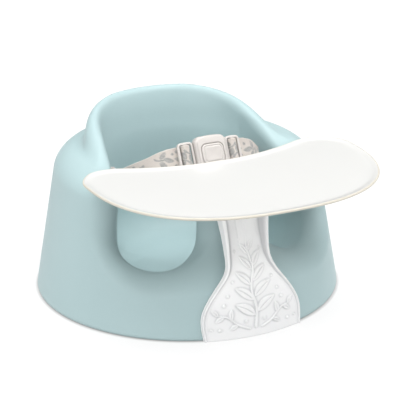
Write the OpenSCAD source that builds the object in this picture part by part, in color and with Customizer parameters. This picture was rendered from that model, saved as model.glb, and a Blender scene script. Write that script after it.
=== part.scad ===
// Baby floor seat: foam seat, lap belt with buckle, slide-on tray.
// Origin: centre of the round base, on the floor. -Y is the front. mm.

/* [Foam seat] */
// Radius of the base on the floor
base_r = 189.2; // [175:0.1:200]
// Inward slope of the outer wall, mm per mm of height
wall_slope = 0.172; // [0.12:0.002:0.2]
// Height of the shoulder
shoulder_h = 175.5; // [172:0.5:178]
// Rounding of the shoulder
shoulder_r = 25; // [18:1:30]
// Height of the back rim
back_h = 226.5; // [210:0.1:235]
// Radius of the back rim's centre line
rim_r = 106; // [104:0.5:108]
// Thickness of the back rim
rim_t = 30; // [26:1:32]
// Centre of the bowl behind the base centre
bowl_y = 6; // [4:0.5:8]
// Radius of the bowl at its floor
bowl_r = 95; // [92:0.5:97]
// Height of the bowl floor
floor_h = 30; // [26:0.5:34]
// Half width of a leg opening
leg_w = 47.5; // [44:0.5:50]
// Lowest point of a leg opening's lip
leg_lip_h = 72.5; // [66:0.5:76]
// Rounding of the leg openings
leg_round = 31; // [22:1:34]
// Radius of the centre post
post_r = 42; // [38:0.5:44]
// Grid of the foam surface: turns over the front, steps over the back
grid_front = 40; // [24:2:48]
grid_back = 16; // [12:2:24]

/* [Tray] */
// Half width of the tray
tray_w = 174; // [165:1:185]
// Height of the tray's flat top
tray_h = 184.2; // [183:0.2:190]
// Height of the raised edge above the flat top
tray_rim = 1.8; // [1:0.2:4]
// Thickness of the tray
tray_t = 3.4; // [3:0.1:4]

/* [Belt] */
// Width of the webbing
web_w = 28; // [25:0.5:28]
// Thickness of the webbing
web_t = 1.4; // [1.2:0.1:1.5]
// Width of the buckle
buckle_w = 40.5; // [40:0.5:46]
// Height of the buckle
buckle_h = 44; // [42:0.5:46]
// Lean of the buckle's face from upright
buckle_lean = 64; // [50:1:72]

/* [Hidden] */
teal = [0.70, 0.83, 0.84];
cream = [0.93, 0.90, 0.88];
webc = [0.78, 0.75, 0.72];
white = [0.96, 0.96, 0.95];
steel = [0.72, 0.72, 0.73];
wall_lean = 0.02;              // outward lean of the bowl wall
B0 = [3.5, -63.5, 185];         // middle of the buckle
ladder_turn = 6;               // each ladder leans back by this much
anchor_z = 135;
anchor_tilt = 18;
web_gap = 1.25;                // webbing centre off the bowl wall

// ---------- helpers ----------
function hyp(a, b) = sqrt(a*a + b*b);
function clamp01(t) = min(max(t, 0), 1);
function ease(e0, e1, x) = let(t = clamp01((x - e0)/(e1 - e0))) t*t*(3 - 2*t);
function pos(x, q) = 0.5*(x + sqrt(x*x + q*q));
function smin(a, b, k) = let(h = clamp01(0.5 + 0.5*(b - a)/k)) b*(1 - h) + a*h - k*h*(1 - h);
function smax(a, b, k) = -smin(-a, -b, k);
function rmax(a, b, r) = (a > -r && b > -r) ? hyp(max(a + r, 0), max(b + r, 0)) - r : max(a, b);
// like rmax, with a flatter rounding
function lip(a, b, r) = (a > -r && b > -r) ? pow(pow(max(a + r, 0), 1.5) + pow(max(b + r, 0), 1.5), 1/1.5) - r : max(a, b);
function bowl_wall(z) = bowl_r + wall_lean*(z - floor_h);
function unit(v) = v/norm(v);
function table(t, x, i = 0) = x <= t[0][0] ? t[0][1] : i >= len(t) - 1 ? t[len(t) - 1][1] :
    x <= t[i + 1][0] ? let(u = (x - t[i][0])/(t[i + 1][0] - t[i][0])) t[i][1]*(1 - u) + t[i + 1][1]*u
    : table(t, x, i + 1);
// smooth curve through points, n steps between neighbours
function cr(a, b, c, d, t) = 0.5*((2*b) + (c - a)*t + (2*a - 5*b + 4*c - d)*t*t + (3*b - a - 3*c + d)*t*t*t);
function curve(p, n) = [for (i = [0:len(p) - 2], j = [0:n - 1])
    cr(p[max(i - 1, 0)], p[i], p[i + 1], p[min(i + 2, len(p) - 1)], j/n), p[len(p) - 1]];

// ---------- foam seat ----------
// signed distance to the foam, negative inside
function foam(x, y, z) =
    let(X = sqrt(x*x + 9), r = hyp(x, y),
        cone = (r - (base_r - wall_slope*z))/hyp(1, wall_slope),
        skirt = rmax(cone, z - (shoulder_h + 0.03*y), shoulder_r),
        yy = y - bowl_y, rc = hyp(x, yy),
        turn = atan2(X, yy),
        hc = 164.7 + (back_h - 164.7)*(1 - ease(21.8, 138, turn)),
        h = rim_t/2,
        col = hyp(rc - rim_r, max(z - (hc - h), 0)) - h,
        flare = 14*(1 - ease(30, 85, turn))*pow(min(max(1 - (hc - z)/78, 0), 1.1), 2)
            - 3*ease(55, 95, turn)*ease(158, 180, z),
        bowl = rmax(rc - bowl_wall(z) - flare, floor_h - z, 45),
        b1 = smax(smin(skirt, col, 16), -bowl, 15),
        c = cos(27), s = sin(27),
        along = (X - 98)*s - (y + 122)*c,
        side = leg_w - ((X - 98)*c + (y + 122)*s),
        zh = pos(z - 80, 20),
        gap = hyp(X, y - (-118 + 0.28*zh)) - (post_r - 0.08*zh),
        W = max((gap + side)/2, 5), T = (side - gap)/2,
        zz = min(z - (leg_lip_h + leg_w - 0.62*(pos(-along, 20) - 10)), 0),
        g = W/leg_w,
        leg = max((hyp(abs(T) + 0.11*pos(z - 112, 12), zz*g) - W)/max(1, 0.5 + 0.5*g), -along - 120))
    rmax(smin(lip(b1, -leg, leg_round), max(z - floor_h, rc - bowl_r), max(10*ease(45, 70, rc), 0.01)), -z, 4);
function reach(c, d, t, n) = let(p = c + d*t, v = foam(p[0], p[1], p[2]))
    (v > -0.02 || n == 0) ? t : reach(c, d, t - 0.85*v, n - 1);
function fan_lean(a) = a < 39 ? 0.35*sin(180*a/39) : a < 95 ? -0.35*sin(180*(a - 39)/56) : 0;
foam_up = [176, 172, 168, 163, 157, 151, 145, 139, 133, 127, 121, 116, 111, 107, 103.5, 100.5, 98, 96,
           94.6, 93.6, 92.8, 92.1, 91.4, 90.7, 90, 89.3, 88.6, 87.9, 87.2, 86.6, 86.1, 85.5, 84.5, 83, 81,
           79, 77, 75, 73, 71, 69, 66.5, 63, 58, 52, 45, 37, 28, 18, 8, -1, -8, -12.5, -14, -16.5];
foam_round = concat([for (i = [0:grid_front]) 75*i/grid_front],
                    [for (i = [1:grid_back]) 75 + 105*i/grid_back]);
module foam_shape() {
    K = len(foam_up); n = len(foam_round); M = 2*n - 2;
    half = [for (a = foam_round) let(c = [110*sin(a), -110*cos(a), 22], e = [sin(a), -cos(a), 0],
            q = [cos(a), sin(a), 0], w = fan_lean(a))
        [for (u = foam_up) let(s = sin(u), d = unit(e*cos(u) + ([0, 0, 1] + q*(u > 0 ? w : 0))*s),
            p = c + d*reach(c, d, 0, 60)) [(a == 0 || a == 180) ? 0 : p[0], p[1], p[2] < 0.08 ? 0 : p[2]]]];
    pts = concat([for (i = [0:n - 1], k = [0:K - 1]) half[i][k]],
                 [for (i = [n - 2:-1:1], k = [0:K - 1]) let(p = half[i][k]) [-p[0], p[1], p[2]]],
                 [[0, 0, floor_h], [0, 0, 0]]);
    faces = [for (i = [0:M - 1]) let(j = (i + 1) % M) each concat(
        [[M*K, j*K, i*K], [M*K + 1, i*K + K - 1, j*K + K - 1]],
        [for (k = [0:K - 2]) each [[i*K + k, j*K + k, j*K + k + 1], [i*K + k, j*K + k + 1, i*K + k + 1]]])];
    polyhedron(points = pts, faces = faces, convexity = 10);
}
module seat_body() {
    color(teal) difference() {
        foam_shape();
        anchor_spots() cylinder(h = 17, r = 2.05, center = false, $fn = 24);
    }
}

// ---------- belt anchors ----------
// local frame of a side anchor: x out into the wall, y forward along the strap, z up
module side_anchor(sgn) {
    translate([0, bowl_y, anchor_z]) mirror([sgn > 0 ? 0 : 1, 0, 0]) rotate([0, 0, 3.5]) children();
}
module anchor_spots() {
    for (s = [-1, 1], k = [-18, 18]) side_anchor(s)
        translate([bowl_wall(anchor_z) - 7.3, 0, 0]) rotate([-anchor_tilt, 0, 0]) translate([0, 0, k]) rotate([0, 90, 0]) children();
    for (k = [-8.5, 8.5]) translate([k, -37, 33.4]) rotate([180, 0, 0]) children();
}
module side_plate(sgn) {
    zb = anchor_z - 40;
    color(cream) difference() {
        intersection() {
            side_anchor(sgn) rotate([-anchor_tilt, 0, 0]) translate([80, -12, -23]) cube([40, 24, 46]);
            difference() {
                translate([0, bowl_y, zb]) cylinder(h = 80, r1 = bowl_wall(zb) - 0.12, r2 = bowl_wall(zb + 80) - 0.12, $fn = 128);
                translate([0, bowl_y, zb - 1]) cylinder(h = 82, r1 = bowl_wall(zb) - 5.2, r2 = bowl_wall(zb + 80) - 5.2, $fn = 128);
            }
        }
        // channel for the webbing
        intersection() {
            side_anchor(sgn) rotate([-anchor_tilt, 0, 0]) translate([80, -14, -web_w/2 - 0.4]) cube([40, 28, web_w + 0.8]);
            difference() {
                translate([0, bowl_y, zb]) cylinder(h = 80, r1 = bowl_wall(zb) + 2, r2 = bowl_wall(zb + 80) + 2, $fn = 128);
                translate([0, bowl_y, zb - 1]) cylinder(h = 82, r1 = bowl_wall(zb) - 2.35, r2 = bowl_wall(zb + 80) - 2.35, $fn = 128);
            }
        }
        anchor_spots() translate([0, 0, -12]) cylinder(h = 30, r = 2.1, $fn = 24);
        anchor_spots() translate([0, 0, -8]) cylinder(h = 9.0, r = 4.3, $fn = 32);
    }
}
module anchor_left() side_plate(-1);
module anchor_right() side_plate(1);
module anchor_floor() {
    color(cream) difference() {
        hull() {
            translate([-15.6, -51, 31.3]) cube([31.2, 19.5, 3.4]);
            translate([-15.6, -44, 30.1]) cube([31.2, 12.5, 1]);
        }
        translate([-web_w/2 - 0.4, -61.4, 29]) cube([web_w + 0.8, 20, 4.2]);
        anchor_spots() translate([0, 0, -12]) cylinder(h = 30, r = 2.1, $fn = 24);
        anchor_spots() translate([0, 0, -8]) cylinder(h = 7.9, r = 4.3, $fn = 32);
    }
}
module anchor_screws() {
    color(steel) for (s = [-1, 1], k = [-18, 18]) side_anchor(s)
        translate([bowl_wall(anchor_z) - 7.3, 0, 0]) rotate([-anchor_tilt, 0, 0]) translate([0, 0, k]) rotate([0, 90, 0])
            pan_screw(1.0, 4, 2.0, 15.5);
    color(steel) for (k = [-8.5, 8.5]) translate([k, -37, 33.4]) rotate([180, 0, 0]) pan_screw(-0.1, 4, 2.0, 14);
}
// head from z0 outward (toward -z), shank toward +z
module pan_screw(z0, hr, sr, len) {
    difference() {
        union() {
            translate([0, 0, z0 - 2]) cylinder(h = 2, r = hr, $fn = 32);
            translate([0, 0, z0 - 0.01]) cylinder(h = len, r = sr, $fn = 24);
        }
        translate([0, 0, z0 - 2.5]) linear_extrude(1.7) union() {
            square([4, 1], center = true); square([1, 4], center = true);
        }
    }
}

// ---------- webbing ----------
// ribbon along points p with width directions w
module ribbon(p, w, wide, thick) {
    n = len(p);
    tan = [for (i = [0:n - 1]) unit(p[min(i + 1, n - 1)] - p[max(i - 1, 0)])];
    wn = [for (i = [0:n - 1]) unit(w[i] - tan[i]*(w[i]*tan[i]))];
    nn = [for (i = [0:n - 1]) cross(tan[i], wn[i])];
    pts = [for (i = [0:n - 1]) each [
        p[i] + wn[i]*wide/2 + nn[i]*thick/2, p[i] - wn[i]*wide/2 + nn[i]*thick/2,
        p[i] - wn[i]*wide/2 - nn[i]*thick/2, p[i] + wn[i]*wide/2 - nn[i]*thick/2]];
    faces = concat([[0, 1, 2, 3]], [[4*n - 1, 4*n - 2, 4*n - 3, 4*n - 4]],
        [for (i = [0:n - 2], k = [0:3]) let(k2 = (k + 1) % 4) each
            [[4*i + k, 4*i + 4 + k, 4*i + 4 + k2], [4*i + k, 4*i + 4 + k2, 4*i + k2]]]);
    polyhedron(points = pts, faces = faces, convexity = 10);
}
// buckle frame: x along the belt, y up the face, z out of the face
eu = [0, sin(90 - buckle_lean), cos(90 - buckle_lean)];
en = [0, -cos(90 - buckle_lean), sin(90 - buckle_lean)];
function to_world(p) = B0 + [p[0], 0, 0] + eu*p[1] + en*p[2];
function ladder_pt(s, x, z) = let(a = ladder_turn, u = x - 22)
    to_world([s*(20.6 + u*cos(a) + z*sin(a)), 0, -u*sin(a) + z*cos(a)]);
module in_buckle() translate(B0) rotate([buckle_lean, 0, 0]) children();
// loop of the webbing over the ladder's middle bar, seen along the bar
loop_xz = [[54, -8.7], [46, -8.9], [37, -9.0], [30.8, -8.6], [27.9, -7], [27.1, -4], [27.3, -1], [28.1, 1],
           [29.9, 2.3], [32.6, 2.7], [35.2, 2.3], [36.7, 1], [37.2, -1], [37.5, -3], [38.8, -5], [41, -5.7], [46, -5.7]];
function wall_pt(s, l) = let(a = -3.5 + l*cos(anchor_tilt)/96*180/PI, z = anchor_z + l*sin(anchor_tilt),
    r = bowl_wall(z) - web_gap) [s*r*cos(a), bowl_y - r*sin(a), z];
module waist_strap(s, mid) {
    free = concat([for (q = loop_xz) ladder_pt(s, q[0], q[1])], mid,
                  [for (l = [14, 8, 2, -4, -10, -16]) wall_pt(s, l)]);
    nl = len(loop_xz); nm = len(mid);
    p = curve(free, 3);
    wd = [for (i = [0:len(p) - 1]) let(q = i/3, t = clamp01((q - nl + 1)/(nm + 1)),
        a = -3.5 + (14 - 6*max(q - nl - nm, 0))*cos(anchor_tilt)/96*180/PI)
        eu*(1 - t) + [s*(sin(a)*sin(anchor_tilt) + wall_lean*cos(anchor_tilt)), cos(a)*sin(anchor_tilt), cos(anchor_tilt)]*t];
    color(webc) ribbon(p, wd, web_w, web_t);
}
module waist_strap_left() waist_strap(-1, [[-56, -57, 178.5], [-69, -51.5, 171], [-82, -37.5, 161.5], [-91.6, -18.8, 150]]);
module waist_strap_right() waist_strap(1, [[60, -55.5, 177.5], [71.5, -49, 168.5], [83, -35, 158], [92, -17, 147]]);
module crotch_strap() {
    top = [for (q = [[-46, -4.9], [-38, -4.3], [-34, -2.0], [-31.5, 0.2], [-29, 0.6], [-26.8, -0.6], [-26.1, -3.4],
                     [-26.8, -6.0], [-30, -7.2], [-36, -7.3], [-46, -7.5]]) to_world([0, q[0], q[1]])];
    rest = [[2.6, -82.5, 128], [1.8, -85.2, 110], [1, -84, 88], [0.4, -80.5, 67], [0, -73, 49], [0, -62.5, 38.8],
            [0, -56, 34.4], [0, -51, 32.1], [0, -46.5, 31.45], [0, -42, 31.15]];
    p = curve(concat(top, rest), 3);
    color(webc) ribbon(p, [for (q = p) [1, 0, 0]], web_w, web_t);
}

// ---------- buckle ----------
module rounded(w, h, r) {
    hull() for (x = [-1, 1], y = [-1, 1]) translate([x*(w/2 - r), y*(h/2 - r)]) circle(r = r, $fn = 32);
}
module buckle_front() {
    color(cream) in_buckle() difference() {
        union() {
            hull() {
                linear_extrude(5) rounded(buckle_w, buckle_h, 9);
                linear_extrude(8.5) rounded(buckle_w - 7, buckle_h - 7, 7);
            }
        }
        difference() {
            translate([0, 0, -1]) linear_extrude(7) rounded(buckle_w - 4, buckle_h - 4, 7);
            for (x = [-14, 14], y = [-17.6, 17.6]) translate([x, y, -2]) cylinder(h = 12, r = 2.8, $fn = 32);
        }
        translate([0, -1, -1]) linear_extrude(12) rounded(29.2, 25.2, 7);
        for (x = [-14, 14], y = [-17.6, 17.6]) translate([x, y, -2]) cylinder(h = 7, r = 1.1, $fn = 24);
    }
}
module buckle_back() {
    color(cream) in_buckle() difference() {
        union() {
            translate([0, 0, -6]) linear_extrude(5.9) rounded(buckle_w, buckle_h, 9);
            translate([-17.5, -32, -5.2]) cube([35, 14, 3.2]);
        }
        difference() {
            translate([0, 0, -4]) linear_extrude(8) rounded(buckle_w - 4, buckle_h - 4, 7);
            for (x = [-14, 14], y = [-17.6, 17.6]) translate([x, y, -5]) cylinder(h = 9, r = 2.8, $fn = 32);
            translate([0, -1, -5]) cylinder(h = 2.2, r = 2.3, $fn = 32);
        }
        translate([-40, -10.7, -3.9]) cube([80, 21.4, 3.6]);
        translate([-14.6, -28.4, -8]) cube([29.2, 5.2, 12]);
        for (x = [-14, 14], y = [-17.6, 17.6]) translate([x, y, -8]) {
            cylinder(h = 9, r = 1.3, $fn = 24);
            cylinder(h = 3.4, r = 2.4, $fn = 32);
        }
    }
}
module buckle_screws() {
    color(steel) in_buckle() for (x = [-14, 14], y = [-17.6, 17.6]) translate([x, y, -4.6]) {
        translate([0, 0, -1.3]) difference() {
            cylinder(h = 1.3, r = 2.2, $fn = 32);
            translate([0, 0, -0.5]) linear_extrude(1.1) union() { square([2.6, 0.7], center = true); square([0.7, 2.6], center = true); }
        }
        translate([0, 0, -0.01]) cylinder(h = 9, r = 1.05, $fn = 24);
    }
}
module release_button() {
    color(cream) in_buckle() translate([0, -1, 0]) difference() {
        union() {
            hull() {
                translate([0, 0, 4]) linear_extrude(4.6) rounded(28.4, 24.4, 6.6);
                translate([0, 0, 4]) linear_extrude(5.6) rounded(26, 22, 5.4);
            }
            translate([0, 0, 4]) linear_extrude(1.6) rounded(32, 28, 8);
        }
        translate([0, 0, 1]) cylinder(h = 4.6, r = 4.2, $fn = 32);
    }
}
// wire coil between the back half and the button
module button_spring() {
    r = 3.1; turns = 4; wr = 0.35; z0 = -3.6; z1 = 5.2; n = turns*12; m = 6;
    pts = [for (i = [0:n], k = [0:m - 1]) let(a = 360*i/12, b = 360*k/m)
        [(r + wr*cos(b))*cos(a), -1 + (r + wr*cos(b))*sin(a), z0 + (z1 - z0)*i/n + wr*sin(b)]];
    faces = concat([[for (k = [m - 1:-1:0]) k]], [[for (k = [0:m - 1]) n*m + k]],
        [for (i = [0:n - 1], k = [0:m - 1]) let(k2 = (k + 1) % m) each
            [[i*m + k, i*m + k2, (i + 1)*m + k2], [i*m + k, (i + 1)*m + k2, (i + 1)*m + k]]]);
    color(steel) in_buckle() polyhedron(points = pts, faces = faces, convexity = 10);
}
module latch(s) {
    color(cream) in_buckle() mirror([s > 0 ? 0 : 1, 0, 0]) {
        // tongue
        translate([5.5, -10.2, -3.6]) cube([17.6, 20.4, 2.9]);
        // ladder
        translate([20.6, 0, 0]) rotate([0, ladder_turn, 0]) translate([0, 0, -4]) difference() {
            translate([10.5, 0, 0]) linear_extrude(4.8) rounded(20.2, 36, 4.5);
            translate([3.4, -14.6, -1]) cube([5.3, 29.2, 8]);
            translate([12.6, -14.6, -1]) cube([4.7, 29.2, 8]);
        }
    }
}
module latch_left() latch(-1);
module latch_right() latch(1);

// ---------- tray ----------
tray_cy = -104;
// distance to the tray's outline, negative inside
function outline(x, y) =
    let(n = y < tray_cy ? 2.46 : 2, b = y < tray_cy ? 170 : 80, X = max(abs(x), 0.01), Y = max(abs(y - tray_cy), 0.01),
        q = pow(X/tray_w, n) + pow(Y/b, n), rho = pow(q, 1/n),
        gx = pow(rho, 1 - n)*pow(X/tray_w, n - 1)/tray_w, gy = pow(rho, 1 - n)*pow(Y/b, n - 1)/b)
    rmax((rho - 1)/hyp(gx, gy), 263 - hyp(x, y - 170), 24);
function edge_at(a, lo, hi, n) = n == 0 ? (lo + hi)/2 : let(m = (lo + hi)/2)
    outline(m*sin(a), -160 - m*cos(a)) > 0 ? edge_at(a, lo, m, n - 1) : edge_at(a, m, hi, n - 1);
module tray_top() {
    N = 104;
    ang = [for (i = [0:N - 1]) 360*i/N];
    rim = [for (a = ang) let(t = edge_at(a, 20, 260, 18)) [t*sin(a), -160 - t*cos(a)]];
    nrm = [for (i = [0:N - 1]) let(d = rim[(i + 1) % N] - rim[(i + N - 1) % N]) [d[1], -d[0]]/norm(d)];
    // inset from the outline and height of each ring, top inwards to out, then under
    zt = tray_h; zb = tray_h - tray_t; h = tray_rim;
    ring = [[40, zt], [21, zt], [18.5, zt + 0.2], [15.5, zt + 0.22*h], [12, zt + 0.47*h], [8.5, zt + 0.7*h],
            [5, zt + 0.88*h], [2.6, zt + 0.98*h], [1.2, zt + h], [0.35, zt + h - 0.5], [0, zt + h - 1.4],
            [0.1, zt + h - 2.4], [0.9, zb + h + 0.1], [3, zb + 0.92*h], [7, zb + 0.75*h], [12, zb + 0.42*h],
            [17, zb + 0.12*h], [21, zb], [40, zb]];
    R = len(ring);
    pts = concat([for (q = ring, i = [0:N - 1]) [rim[i][0] - nrm[i][0]*min(q[0], 24) - (q[0] > 24 ? (rim[i][0])*0.25 : 0),
                                                 rim[i][1] - nrm[i][1]*min(q[0], 24) - (q[0] > 24 ? (rim[i][1] + 160)*0.25 : 0), q[1]]],
                 [[0, -160, zt], [0, -160, zb]]);
    faces = concat([for (i = [0:N - 1]) let(j = (i + 1) % N) [R*N, j, i]],
        [for (k = [0:R - 2], i = [0:N - 1]) let(j = (i + 1) % N) each
            [[k*N + i, k*N + j, (k + 1)*N + j], [k*N + i, (k + 1)*N + j, (k + 1)*N + i]]],
        [for (i = [0:N - 1]) let(j = (i + 1) % N) [R*N + 1, (R - 1)*N + i, (R - 1)*N + j]]);
    color(white) difference() {
        union() {
            polyhedron(points = pts, faces = faces, convexity = 6);
            // pad under the tray that the leg is screwed to
            translate([0, -161, 177.3]) linear_extrude(zb - 177.3 + 0.5) rounded(78, 66, 10);
        }
        tray_holes() translate([0, 0, -1]) cylinder(h = 6.2, r = 2.05, $fn = 24);
    }
}
module tray_holes() for (x = [-24, 24], y = [-184, -165]) translate([x, y, 177.3]) children();

// leg of the tray: a channel that follows the front of the seat
stem_back = [[0, 190.2], [60, 179.9], [75, 176.9], [80, 174.6], [85, 171.6], [88, 169.6], [92, 166.9], [100, 163],
             [112, 159], [134, 151.5], [150, 146.5], [165, 143.5], [178, 142.5]];
stem_half = [[0, 62.3], [8, 63.4], [16, 64.2], [25, 64], [33, 62], [41, 58.2], [50, 52.8], [61, 45], [69, 38.6], [77, 33],
             [84, 29.4], [92, 27.6], [103, 27.3], [118, 28], [134, 29.5], [150, 32], [165, 36], [178, 40]];
stem_rim = [[0, 2], [40, 2.4], [61, 3], [75, 3.6], [88, 4.6], [100, 6.6], [112, 8.8], [134, 12.6], [150, 14], [178, 14]];
stem_rimw = [[0, 4.5], [40, 5.5], [61, 6.6], [75, 7.4], [88, 8.4], [112, 11], [134, 13.6], [178, 15]];
stem_u = [-1, -0.98, -0.94, -0.89, -0.83, -0.76, -0.68, -0.58, -0.42, -0.2, 0];
function stem_front(x, z) = let(w = table(stem_half, z), e = (w - abs(x))/table(stem_rimw, z))
    3 + table(stem_rim, z)*(1 - ease(0.12, 1, e)) - 0.9*(1 - ease(0, 0.12, e));
function stem_y(x, z) = -sqrt(pow(table(stem_back, z), 2) - x*x);
module stem_shell() {
    us = concat(stem_u, [for (i = [len(stem_u) - 2:-1:0]) -stem_u[i]]);
    zs = concat([0.6, 6, 12, 18, 25], [for (i = [0:16]) 32 + 4*i], [100, 108, 117, 126, 136, 147, 158, 166, 173.3]);
    m = len(us); n = len(zs);
    pts = [for (z = zs) each concat(
        [for (u = us) let(x = u*table(stem_half, z)) [x, stem_y(x, z) - stem_front(x, z), z]],
        [for (i = [m - 1:-1:0]) let(x = us[i]*table(stem_half, z)) [x, stem_y(x, z), z]])];
    q = 2*m;
    caps = [for (i = [0:m - 2]) each [[i, i + 1, q - 2 - i], [i, q - 2 - i, q - 1 - i]]];
    faces = concat([for (k = [0:n - 2], i = [0:q - 1]) let(j = (i + 1) % q) each
            [[k*q + i, (k + 1)*q + i, (k + 1)*q + j], [k*q + i, (k + 1)*q + j, k*q + j]]],
        caps, [for (f = caps) [(n - 1)*q + f[2], (n - 1)*q + f[1], (n - 1)*q + f[0]]]);
    polyhedron(points = pts, faces = faces, convexity = 8);
}
module tray_stem() {
    color(white) stem_shell();
}
// plate on the leg's top end, screwed to the pad under the tray
module stem_plate() {
    color(white) difference() {
        translate([0, -161, 173.3]) linear_extrude(3.95) rounded(74, 62, 9);
        tray_holes() translate([0, 0, -5]) cylinder(h = 10, r = 2.15, $fn = 24);
        tray_holes() translate([0, 0, -6]) cylinder(h = 4.35, r = 3.9, $fn = 32);
    }
}
module tray_screws() {
    color(steel) tray_holes() translate([0, 0, -1.65]) difference() {
        union() {
            translate([0, 0, -2.1]) cylinder(h = 2.1, r = 3.7, $fn = 32);
            translate([0, 0, -0.01]) cylinder(h = 6.5, r = 2, $fn = 24);
        }
        translate([0, 0, -2.6]) linear_extrude(1.8) union() { square([4, 1], center = true); square([1, 4], center = true); }
    }
}

seat_body();
anchor_left();
anchor_right();
anchor_floor();
anchor_screws();
waist_strap_left();
waist_strap_right();
crotch_strap();
buckle_front();
buckle_back();
buckle_screws();
release_button();
button_spring();
latch_left();
latch_right();
tray_top();
tray_stem();
stem_plate();
tray_screws();
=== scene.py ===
import math

import bmesh
import bpy
import numpy as np
from mathutils import Matrix, Vector


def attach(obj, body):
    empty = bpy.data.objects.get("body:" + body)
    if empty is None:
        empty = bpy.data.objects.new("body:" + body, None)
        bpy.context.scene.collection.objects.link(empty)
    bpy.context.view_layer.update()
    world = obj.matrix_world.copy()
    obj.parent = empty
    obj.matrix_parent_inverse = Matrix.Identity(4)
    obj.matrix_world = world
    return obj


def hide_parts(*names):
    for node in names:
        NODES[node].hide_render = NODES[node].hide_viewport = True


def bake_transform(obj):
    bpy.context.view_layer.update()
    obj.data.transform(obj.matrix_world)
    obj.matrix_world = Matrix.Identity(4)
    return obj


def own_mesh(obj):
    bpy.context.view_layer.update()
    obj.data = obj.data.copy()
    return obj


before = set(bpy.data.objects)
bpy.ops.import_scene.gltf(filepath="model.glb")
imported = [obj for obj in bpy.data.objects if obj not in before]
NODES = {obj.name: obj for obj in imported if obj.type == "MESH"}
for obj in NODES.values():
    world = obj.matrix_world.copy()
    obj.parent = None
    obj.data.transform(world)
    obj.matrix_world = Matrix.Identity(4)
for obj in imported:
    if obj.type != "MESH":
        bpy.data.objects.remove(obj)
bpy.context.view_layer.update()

scene = bpy.context.scene
R90 = math.radians(90)


def lin(r, g, b):
    """0-255 screen colour to linear."""
    out = []
    for c in (r, g, b):
        c /= 255
        out.append(c / 12.92 if c <= 0.04045 else ((c + 0.055) / 1.055) ** 2.4)
    return (*out, 1.0)


# ------------------------------------------------------------------ camera
AZ, EL, ROLL = math.radians(-25.5), math.radians(20.953), math.radians(-0.25)
TARGET = Vector((0.0172, -0.0261, 0.10))
back = Vector((math.sin(AZ) * math.cos(EL), -math.cos(AZ) * math.cos(EL), math.sin(EL)))
right = Vector((math.cos(AZ), math.sin(AZ), 0))
up = back.cross(right)
right, up = (
    math.cos(ROLL) * right + math.sin(ROLL) * up,
    -math.sin(ROLL) * right + math.cos(ROLL) * up,
)
cam_data = bpy.data.cameras.new("camera")
cam_data.sensor_width = 36
cam_data.lens = 1617.9 * 36 / 416
cam_data.clip_start = 0.05
cam_data.clip_end = 60
camera = bpy.data.objects.new("camera", cam_data)
scene.collection.objects.link(camera)
turn = Matrix((right, up, back)).transposed().to_4x4()
turn.translation = TARGET + back * 2.0
camera.matrix_world = turn
scene.camera = camera


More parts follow.
